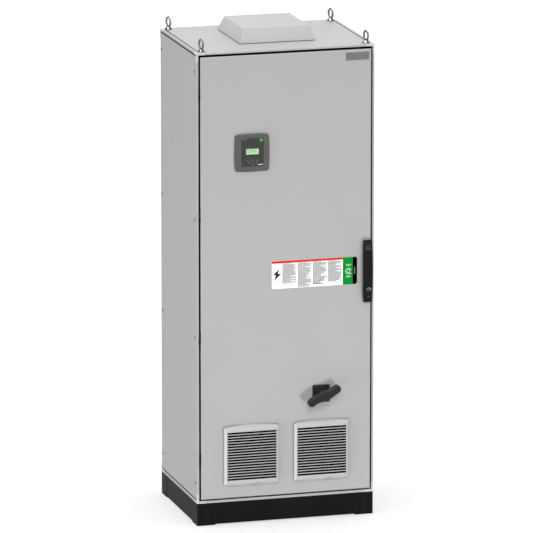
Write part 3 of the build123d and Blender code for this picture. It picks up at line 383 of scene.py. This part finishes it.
def prism(name, outlines, rear, front, body, material):
    """Closed solid over each outline in the XZ plane, between two depths in millimetres."""
    shape = bmesh.new()
    for outline in outlines:
        near = [shape.verts.new((x * MM, front * MM, z * MM)) for x, z in outline]
        far = [shape.verts.new((x * MM, rear * MM, z * MM)) for x, z in outline]
        shape.faces.new(near)
        shape.faces.new(reversed(far))
        for index in range(len(near)):
            other = (index + 1) % len(near)
            shape.faces.new((near[other], near[index], far[index], far[other]))
    bmesh.ops.recalc_face_normals(shape, faces=shape.faces)
    finished_piece(name, shape, body, material)


def mark(name, outlines, face, thick, body, material):
    """Flat mark that stands out from a face by its thickness."""
    prism(name, outlines, face, face - thick, body, material)


def block(shape, centre, size):
    """Add a block, given its centre and size in millimetres."""
    place = Matrix.Translation(Vector(centre) * MM) @ Matrix.Diagonal((*(Vector(size) * MM), 1))
    bmesh.ops.create_cube(shape, size=1, matrix=place)


def tube(shape, centre, inner, outer, low, high, steps=32):
    """Add an upright tube round the centre, in millimetres, closed at both ends."""
    corners = ((outer, low), (outer, high), (inner, high), (inner, low))
    loops = []
    for step in range(steps):
        turn = 2 * pi * step / steps
        places = [(*on_circle(*centre, radius, turn), z) for radius, z in corners]
        loops.append([shape.verts.new((x * MM, y * MM, z * MM)) for x, y, z in places])
    for loop, after in zip(loops, loops[1:] + loops[:1]):
        for index in range(4):
            other = (index + 1) % 4
            shape.faces.new((loop[index], after[index], after[other], loop[other]))


# ---------------------------------------------------------------- painted shade in gaps and recesses, and joint lines
FRONT = -300
REBATE_HALF, REBATE_LOW, REBATE_HIGH, REBATE_FLOOR = 390.9, 100.3, 2089.9, -282.6
DOOR_HALF, DOOR_LOW, DOOR_HIGH = 383.75, 118.25, 2080.75
# widths of the painted shade on the recess walls, on the recess floor and on the door's edge
WALL_SHADE_WIDTH, FLOOR_SHADE_WIDTH, EDGE_SHADE_WIDTH = 0.4, 26, 0.25
SCREW_DEPTHS = (-271, 275)
SCREW_HEIGHTS = (188, 839, 1364, 2014)
# size of the black discs of painted shade round each screw
DIMPLE_SHADE_RADIUS, DIMPLE_SHADE_THICK = 6.2, 0.6
HINGE_AXIS = (-387.2, -303.5)
HINGE_HEIGHTS = (300, 840, 1380, 1920)
# black tube and flat sheet of painted shade round the door's half of each hinge
SHADE_TUBE_INNER, SHADE_TUBE_OUTER, KNUCKLE, KNUCKLE_GAP = 3.5, 3.62, 25, 0.4
LEAF_SHADE_PLACE, LEAF_SHADE_SIZE = (-385.5, -306.85), (3.4, 0.5)
CABINET_HALF = 400
GROOVE_INSETS = (38, 47, 82)
GROOVE_HALF, GROOVE_LOW, GROOVE_HIGH = 0.6, 2, 98
# near-black ink: painted shade in gaps, recesses and screw dimples and round the hinges, and the dark
# joint lines at the corners
gap_shade_black = ink("gap_shade_black", (0.001, 0.001, 0.001), 0.9)


def paint_rebate_shade():
    """Black walls and floor of the recess round the door, and a black rim on the door's edge: painted
    shade in the door gap.
    """
    walls = frame_ring(-REBATE_HALF, REBATE_HALF, REBATE_LOW, REBATE_HIGH, WALL_SHADE_WIDTH)
    prism("door_rebate_wall_shade", walls, REBATE_FLOOR, FRONT + 0.3, "cabinet", gap_shade_black)
    half, low, high = REBATE_HALF - 0.5, REBATE_LOW + 0.5, REBATE_HIGH - 0.5
    prism("door_rebate_floor_shade", frame_ring(-half, half, low, high, FLOOR_SHADE_WIDTH), REBATE_FLOOR + 0.2,
          REBATE_FLOOR - 0.2, "cabinet", gap_shade_black)
    rim_shade = frame_ring(-DOOR_HALF, DOOR_HALF, DOOR_LOW, DOOR_HIGH, EDGE_SHADE_WIDTH)
    prism("door_edge_shade", rim_shade, FRONT + 14, FRONT - 2, "door", gap_shade_black)


def gap_shade_and_joints(name, x, y, z, size):
    """Thin black strip in a joint of the sheet metal, on both sides of the cabinet; in the gaps of the
    roof and the side panels it is painted shade.
    """
    shape = bmesh.new()
    for side in (-1, 1):
        block(shape, (side * x, y, z), size)
    finished_piece(name, shape, "cabinet", gap_shade_black)


def screw_dimple_shade():
    """Black discs round the screws of both side panels: painted shade in the screws' dimples."""
    shape = bmesh.new()
    for side in (-1, 1):
        for y in SCREW_DEPTHS:
            for height in SCREW_HEIGHTS:
                place = Matrix.Translation((side * CABINET_HALF * MM, y * MM, height * MM))
                turned = place @ Matrix.Rotation(pi / 2, 4, "Y")
                bmesh.ops.create_cone(shape, cap_ends=True, segments=24, radius1=DIMPLE_SHADE_RADIUS * MM,
                                      radius2=DIMPLE_SHADE_RADIUS * MM, depth=DIMPLE_SHADE_THICK * MM, matrix=turned)
    finished_piece("screw_dimple_shade", shape, "cabinet", gap_shade_black)


def hinge_gap_shade():
    """Black tubes and thin flat sheets over the door's half of the four hinges: painted shade, so that
    they vanish in the dark door gap.
    """
    shape = bmesh.new()
    for height in HINGE_HEIGHTS:
        low, high = height - KNUCKLE, height - KNUCKLE_GAP
        tube(shape, HINGE_AXIS, SHADE_TUBE_INNER, SHADE_TUBE_OUTER, low, high)
        block(shape, (*LEAF_SHADE_PLACE, (low + high) / 2), (*LEAF_SHADE_SIZE, high - low))
    finished_piece("hinge_gap_shade", shape, "door", gap_shade_black)


def foot_grooves():
    """Faint upright lines on the front of the plinth's corners, lighter than the plinth: painted highlight
    on the edges of their joints.
    """
    lines = [band(side * (CABINET_HALF - inset), GROOVE_HALF, GROOVE_LOW, GROOVE_HIGH)
             for side in (-1, 1) for inset in GROOVE_INSETS]
    mark("foot_grooves", lines, FRONT, 0.2, "cabinet",
         finish_of("groove_edge_highlight", (0.0065, 0.0065, 0.0065), 0.5, mirror=0.1))


paint_rebate_shade()
# the gaps at the roof's edges and above the side panels get painted shade; the corner seams are dark joint
# lines
gap_shade_and_joints("roof_gap_shade", 384.6, 0, 2100, (3.6, 540, 0.4))
gap_shade_and_joints("side_panel_gap_shade", 399.2, 0, 2087.3, (2, 556, 5.4))
gap_shade_and_joints("corner_seams", 357, -299.9, 2095, (1.2, 0.6, 10.4))
screw_dimple_shade()
hinge_gap_shade()
foot_grooves()

# ---------------------------------------------------------------- warning label print
PRINT = 0.12
LABEL_FACE = -307.6
LABEL_LEFT, LABEL_RIGHT, LABEL_LOW, LABEL_HIGH = -64, 322, 1041.65, 1163.15
GREEN_LEFT, STRIP_LEFT = 256.5, 302
COLUMN_LEFTS = (-18.5, 51, 119.5, 188)
COLUMN_RIGHTS = COLUMN_LEFTS[1:] + (GREEN_LEFT,)
COLUMN_LOWS = (1066, 1048, 1056, 1060)
FLASH = [(-30, 1130), (-61, 1102), (-46, 1103), (-55, 1076), (-20, 1109), (-37, 1108)]


def printed(name, outlines, colour, lift=0.0):
    """One printed colour of the label; the lift is for print that lies over other print."""
    mark(name, outlines, LABEL_FACE - lift, PRINT, "door", ink(name + "_ink", colour))


def print_warning():
    """Red band with a line of faint print, and the flash sign below it."""
    band_field = bar(LABEL_LEFT + 0.5, GREEN_LEFT, LABEL_HIGH - 9.4, LABEL_HIGH - 0.1)
    band_words = text_lines(60, 190, LABEL_HIGH - 3.6, LABEL_HIGH - 6, pitch=9, thick=1.5, seed=3)
    printed("label_red_band", [band_field], (0.33, 0.0004, 0.0008))
    printed("label_band_print", band_words, (0.36, 0.03, 0.03), PRINT)
    printed("label_flash_sign", [FLASH], (0.0075, 0.0075, 0.0075))


def print_columns():
    """Four columns of small print with headings and rules."""
    lines, heads = [], []
    for index, (left, right, low) in enumerate(zip(COLUMN_LEFTS, COLUMN_RIGHTS, COLUMN_LOWS)):
        lines += text_lines(left + 2, right - 4, LABEL_HIGH - 14, low, pitch=3.1, thick=2.3,
                            seed=index + 10)
        heads.append(bar(left + 2, left + 40, LABEL_HIGH - 12.5, LABEL_HIGH - 11))
        heads.append(bar(left + 2, right - 18, low - 4.2, low - 2.4))
    rules = [band(left, 0.3, LABEL_LOW + 4, LABEL_HIGH - 9) for left in COLUMN_LEFTS]
    printed("label_small_print", lines, (0.065, 0.065, 0.065))
    printed("label_headings", heads, (0.012, 0.012, 0.012))
    printed("label_column_rules", rules, (0.3132, 0.3132, 0.3132))


def print_right_end():
    """Green field with a ring sign and small print, and the dark strip with its mark."""
    field = bar(GREEN_LEFT, STRIP_LEFT, LABEL_LOW, LABEL_HIGH)
    printed("label_green_field", [field], (0.0001, 0.118, 0.0125))
    sign = ring(282, 1101, radius=13.5, width=2.2, start=20, stop=320)
    sign += ring(283, 1100, radius=7.5, width=1.8) + [bar(283, 295, 1088, 1091)]
    for high, seed in ((1132, 31), (1081, 32)):
        sign += text_lines(272, 294, high, high - 8, pitch=3.2, thick=1.4, seed=seed)
    printed("label_ring_sign", sign, (0.3884, 0.451, 0.3884), PRINT)
    strip = [bar(STRIP_LEFT, LABEL_RIGHT - 0.2, LABEL_LOW + 4, LABEL_HIGH - 4),
             bar(STRIP_LEFT, LABEL_RIGHT - 3, LABEL_LOW, LABEL_HIGH)]
    printed("label_dark_strip", strip, (0.0025, 0.0025, 0.0025))
    printed("label_strip_mark", [bar(309, 312, 1086, 1118)], (0.16, 0.16, 0.16), PRINT)


print_warning()
print_columns()
print_right_end()

# ---------------------------------------------------------------- controller marks
LAMP_PLACES = ((-176.5, 1620.1), (-131.5, 1618.5))
SIGN_PLACE = (-114, 1707.5)
KEY_TURNS = {"left": 180, "right": 0, "up": 90, "down": 270}
THIN_PRINT = 0.05
pale = ink("mark_pale", (0.12, 0.12, 0.116))


def mark_controller():
    """Light lines, two lamps, a green dot with a light bar and a plain bar on the controller's face."""
    face = in_mm(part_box("controller_face"))
    name_line = bar(face.left + 3, face.left + 22, face.high - 6, face.high - 4)
    side_line = bar(-173, -163, 1674.5, 1676)
    mark("controller_lines", [name_line, side_line], face.front, PRINT, "door", pale)
    mark("controller_lamps", [disc(x, z, 2.2) for x, z in LAMP_PLACES], face.front, PRINT,
         "door", ink("mark_lamp", (0.13, 0.13, 0.12)))
    mark("controller_sign", [disc(*SIGN_PLACE, 7.6)], face.front, PRINT,
         "door", ink("mark_green", (0.012, 0.19, 0.026)))
    mark("controller_sign_bar", [band(SIGN_PLACE[0], 4, 1706, 1709)], face.front - PRINT, PRINT,
         "door", pale)
    mark("controller_plain_bar", [bar(-131, -106, 1598, 1602)], face.front, PRINT,
         "door", ink("mark_bar", (0.2819, 0.2819, 0.2756)))


def mark_display():
    """Lines of plain bars on the display's glass."""
    glass = in_mm(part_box("controller_display"))
    digits = text_lines(glass.left + 4, glass.right - 8, glass.high - 5, glass.low + 6, pitch=7, thick=3.2,
                        seed=77)
    mark("display_digits", digits, glass.front, THIN_PRINT, "door",
         ink("mark_digit", (0.0877, 0.1879, 0.0877)))


def mark_keys():
    """Arrow in a ring on each of the four keys."""
    for name, turn in KEY_TURNS.items():
        key = in_mm(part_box("key_" + name))
        x, z = (key.left + key.right) / 2, (key.low + key.high) / 2
        arrow = [on_circle(x, z, 2.6, radians(turn + part)) for part in (0, 120, 240)]
        outlines = [arrow] + ring(x, z, radius=5.2, width=0.7, steps=24)
        mark("arrow_" + name, outlines, key.front, THIN_PRINT, name + "_key", pale)


mark_controller()
mark_display()
mark_keys()

# ---------------------------------------------------------------- painted shade behind the grille slots, and latches
# half size of the black sheet of painted shade right behind the slots
SLOT_SHADE_HALF = 112.8
# latch and notch: distances from the middle of the grille cover
LATCH_LEFT, LATCH_RIGHT, LATCH_LOW, LATCH_HIGH, LATCH_LINE = 4, 34, 127, 115, 0.8
NOTCH_X, NOTCH_Z, NOTCH_RADIUS = 14, 131, 1.8


def dress_grille(side):
    """Black fleece sheet right behind the slots as painted shade in them, the outline of the latch at the
    bottom, and its notch as a dark dot of painted shade.
    """
    cover = in_mm(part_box("grille_cover_" + side))
    middle, height = (cover.left + cover.right) / 2, (cover.low + cover.high) / 2
    front, body = cover.front, side + "_grille"
    shade_sheet = band(middle, SLOT_SHADE_HALF, height - SLOT_SHADE_HALF, height + SLOT_SHADE_HALF)
    prism("grille_slot_shade_" + side, [shade_sheet], front + 7, front + 3.2, body,
          materials["filter_fleece"])
    latch = frame_ring(middle - LATCH_LEFT, middle + LATCH_RIGHT, height - LATCH_LOW, height - LATCH_HIGH,
                       LATCH_LINE)
    prism("grille_latch_" + side, latch, front + 6, front + 1.5, body,
          ink("latch_line", (0.1002, 0.1002, 0.1002)))
    notch = disc(middle + NOTCH_X, height - NOTCH_Z, NOTCH_RADIUS, steps=12)
    prism("grille_notch_" + side, [notch], front + 12, front + 4.5, body,
          ink("notch_shade", (0.0125, 0.0125, 0.0125)))


dress_grille("left")
dress_grille("right")

# ---------------------------------------------------------------- handle details
CROWN_RISE = 8
RIBS, RIB_PITCH, RIB_HEIGHT = 9, 4, 3.6
handle_grey = ink("handle_mark", (0.0752, 0.0752, 0.0752))


def dress_lock():
    """Painted highlight arc on the rim of the lock cylinder, and its key slot; gives back the lock's place
    across the door.
    """
    lock = in_mm(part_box("lock_cylinder"))
    x, z = (lock.left + lock.right) / 2, (lock.low + lock.high) / 2
    highlight_arc = ring(x, z, radius=9.4, width=2.2, start=-40, stop=220)
    mark("lock_ring", highlight_arc, lock.front, 0.1, "lock_cylinder",
         ink("lock_rim_highlight", (0.17, 0.17, 0.17)))
    mark("lock_slot_edge", [band(x, 3.5, z - 1.2, z + 1.2)], lock.front, 0.1, "lock_cylinder",
         handle_grey)
    return x


def dress_lever(lock_x):
    """Arc that shows which way the lock turns, and the ribbed thumb pad."""
    lever = in_mm(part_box("handle_lever"))
    middle = (lever.left + lever.right) / 2
    half = (lever.high - lever.low) / 2

    def skin(height):
        """Depth of the lever's crowned front at that height."""
        return lever.front + CROWN_RISE * ((height - lever.low - half) / half) ** 2

    arc = ring(lock_x, lever.low + 32, radius=8, width=1.6, start=215, stop=325, steps=16)
    arc_skin = skin(lever.low + 24)
    prism("turn_arc", arc, arc_skin + 2, arc_skin - 1.2, "handle_lever", handle_grey)
    pad_grey = finish_of("pad_grey", (0.0305, 0.0305, 0.0305), 0.6, spread=0.3, mottle=500, grain=700,
                         relief=0.0002, mirror=0.2)
    for rib in range(RIBS):
        top = lever.high - 6 - RIB_PITCH * rib
        outline = bar(middle - 12.5, middle + 13, top - RIB_HEIGHT, top)
        prism(f"thumb_rib_{rib}", [outline], skin(top) + 2, skin(top) - 0.5, "handle_lever",
              pad_grey)


lock_middle = dress_lock()
dress_lever(lock_middle)

# ---------------------------------------------------------------- steel inside the cabinet
POST_HOLES_X, POST_FACE = 356, -282.55
STIFFENER_HOLES_X, STIFFENER_FACE = 315, -277.9
HOLE_HALF, HOLE_HEIGHT, HOLE_PITCH = 4.5, 12.5, 25
DEVICE_PRINT = 0.1
# near-black marks stand for the system holes: painted shade inside them
hole_shade_ink = ink("punched_hole_shade", (0.0025, 0.0025, 0.0025), 0.8)
print_grey = ink("device_print", (0.1879, 0.1879, 0.1817))
print_dark = ink("device_print_dark", (0.0188, 0.0188, 0.0188))
seam_dark = ink("seam_dark", (0.0313, 0.0313, 0.0325), 0.7)


def front_of(name):
    """Left, right, low, high and front of a node, in millimetres."""
    return in_mm(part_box(name))


def hole_row(name, x, low, high, face, body):
    """Column of punched system holes, drawn as near-black marks: painted shade in holes that are not cut.
    """
    holes = [band(x, HOLE_HALF, z, z + HOLE_HEIGHT) for z in range(low, high, HOLE_PITCH)]
    mark(name, holes, face, DEVICE_PRINT, body, hole_shade_ink)


def dress_steel():
    """System holes in the posts and in the door's stiffeners."""
    for side, x in (("left", -1), ("right", 1)):
        hole_row("post_holes_" + side, x * POST_HOLES_X, 150, 2060, POST_FACE, "cabinet")
        hole_row("stiffener_holes_" + side, x * STIFFENER_HOLES_X, 170, 2030, STIFFENER_FACE,
                 "door")


# ---------------------------------------------------------------- drive
# left, right, low and high of what the drive's cover carries
KEYPAD = (-46, 46, 1606, 1754)
KEYPAD_GLASS = (-34, 34, 1700, 1742)
RATING_PLATE = (70, 165, 1640, 1710)
PLATE_THICK = 0.3


def dress_drive():
    """Keypad with display and keys, rating plate, cover screws and seams on the drive."""
    cover = front_of("drive_cover")
    face = cover.front
    pad_face = face - 7
    plate_face = face - PLATE_THICK
    prism("drive_keypad", [bar(*KEYPAD)], face + 6, pad_face, "cabinet",
          finish_of("keypad_black", (0.0075, 0.0075, 0.0082), 0.35, mirror=0.3))
    mark("drive_keypad_display", [bar(*KEYPAD_GLASS)], pad_face, 0.3, "cabinet",
         ink("keypad_glass", (0.0626, 0.1002, 0.1065), 0.15))
    keys = [disc(x, z, 6.5, steps=20) for x in (-26, 0, 26) for z in (1625, 1650)]
    keys.append(disc(0, 1677, 8, steps=24))
    mark("drive_keypad_keys", keys, pad_face, 2, "cabinet",
         ink("keypad_keys", (0.1002, 0.1002, 0.1034)))
    mark("drive_rating_plate", [bar(*RATING_PLATE)], face, PLATE_THICK, "cabinet",
         materials["label_white"])
    words = text_lines(74, 160, 1704, 1648, pitch=5, thick=2, seed=5)
    mark("drive_rating_print", words, plate_face, DEVICE_PRINT, "cabinet", print_dark)
    screws = [disc(x, z, 4, steps=16) for x in (cover.left + 16, cover.right - 16)
              for z in (cover.low + 16, cover.high - 16)]
    mark("drive_cover_screws", screws, face, 1.2, "cabinet", materials["zinc_steel"])
    seams = [bar(cover.left + 12, cover.right - 12, z, z + 1.4) for z in (1560, 1800)]
    mark("drive_cover_seams", seams, face, THIN_PRINT, "cabinet", seam_dark)


# ---------------------------------------------------------------- smaller devices
RAIL_FACE = 192.2
# width and depth of each relay, from the left
RELAYS = [(70, 116), (45, 68)] + [(22.5, 81)] * 8
FUSES, FUSE_MIDDLE, FUSE_PITCH = 3, 29, 62
CONTACTOR_SCREW_FACE, BREAKER_FACE = 130, 95
TERMINALS, TERMINAL_MIDDLE, TERMINAL_PITCH, TERMINAL_HEIGHT = 20, 5.7, 12, 235
DUCT_FACE = 120
UPRIGHT_DUCTS, LEVEL_DUCTS = (-345, 305), (695, 885)
COVER_EDGES = (4, 35)


def dress_relays():
    """Lines of print and a small green lamp on every relay."""
    row = in_mm(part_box("control_relays"))
    left, middle = row.left, (row.low + row.high) / 2
    for index, (width, depth) in enumerate(RELAYS):
        name = f"relay_{index}"
        face = RAIL_FACE - depth
        words = text_lines(left + 4, left + width - 5, middle + 18, middle - 8, pitch=5, thick=2,
                           seed=index + 40)
        mark(name + "_print", words, face, DEVICE_PRINT, "cabinet", print_grey)
        lamp = disc(left + width / 2, middle - 15, 1.8, steps=12)
        mark(name + "_lamp", [lamp], face, 0.5, "cabinet",
             ink(name + "_lamp_green", (0.0313, 0.3445, 0.0501)))
        left += width


def dress_fuses():
    """Grip, window frame and print on each main fuse."""
    row = front_of("main_fuses")
    low = row.low
    for index in range(FUSES):
        middle = row.left + FUSE_MIDDLE + FUSE_PITCH * index
        window = frame_ring(middle - 19, middle + 19, low + 50, low + 160, 1.2)
        words = text_lines(middle - 15, middle + 15, low + 150, low + 122, pitch=6, thick=2.4,
                           seed=index + 60)
        mark(f"fuse_grip_{index}", [band(middle, 12, low + 96, low + 114)], row.front, 5, "cabinet",
             ink(f"fuse_grip_{index}_grey", (0.1378, 0.1378, 0.1378)))
        mark(f"fuse_window_{index}", window, row.front, DEVICE_PRINT, "cabinet",
             seam_dark)
        mark(f"fuse_print_{index}", words, row.front, DEVICE_PRINT, "cabinet", print_grey)


def dress_switches():
    """Print, carrier and screws on the contactor, and print on the breaker."""
    face = front_of("contactor").front
    contactor_words = text_lines(-62, 0, 606, 580, pitch=7, thick=2.6, seed=70)
    breaker_words = text_lines(112, 150, 660, 628, pitch=8, thick=3, seed=80)
    mark("contactor_print", contactor_words, face, DEVICE_PRINT, "cabinet", print_grey)
    mark("contactor_carrier", [bar(-25, -5, 552, 566)], face, 1.5, "cabinet",
         ink("carrier_white", (0.3132, 0.3132, 0.3069)))
    screws = [disc(x, z, 7, steps=18) for x in (-58, -15, 28) for z in (505, 655)]
    mark("contactor_screws", screws, CONTACTOR_SCREW_FACE, 2.5, "cabinet",
         materials["zinc_steel"])
    mark("breaker_print", breaker_words, BREAKER_FACE, DEVICE_PRINT, "cabinet", print_grey)


def dress_terminals():
    """Two screws and a white tag on every terminal."""
    row = front_of("terminal_blocks")
    screws, tabs = [], []
    for index in range(TERMINALS):
        x = row.left + TERMINAL_PITCH * index + TERMINAL_MIDDLE
        screws += [disc(x, TERMINAL_HEIGHT + shift, 2.6, steps=12) for shift in (-8, 8)]
        tabs.append(band(x, 4, TERMINAL_HEIGHT - 2.5, TERMINAL_HEIGHT + 2.5))
    mark("terminal_screws", screws, row.front, 0.3, "cabinet", print_dark)
    mark("terminal_tags", tabs, row.front, 0.6, "cabinet", materials["label_white"])


def dress_ducts():
    """Edges of the cable ducts' covers."""
    edges = [bar(x + edge, x + edge + 1, 472, 2018) for x in UPRIGHT_DUCTS for edge in COVER_EDGES]
    edges += [bar(-303, 303, z + edge, z + edge + 1) for z in LEVEL_DUCTS for edge in COVER_EDGES]
    mark("duct_cover_edges", edges, DUCT_FACE, DEVICE_PRINT, "cabinet", seam_dark)


dress_steel()
dress_drive()
dress_relays()
dress_fuses()
dress_switches()
dress_terminals()
dress_ducts()
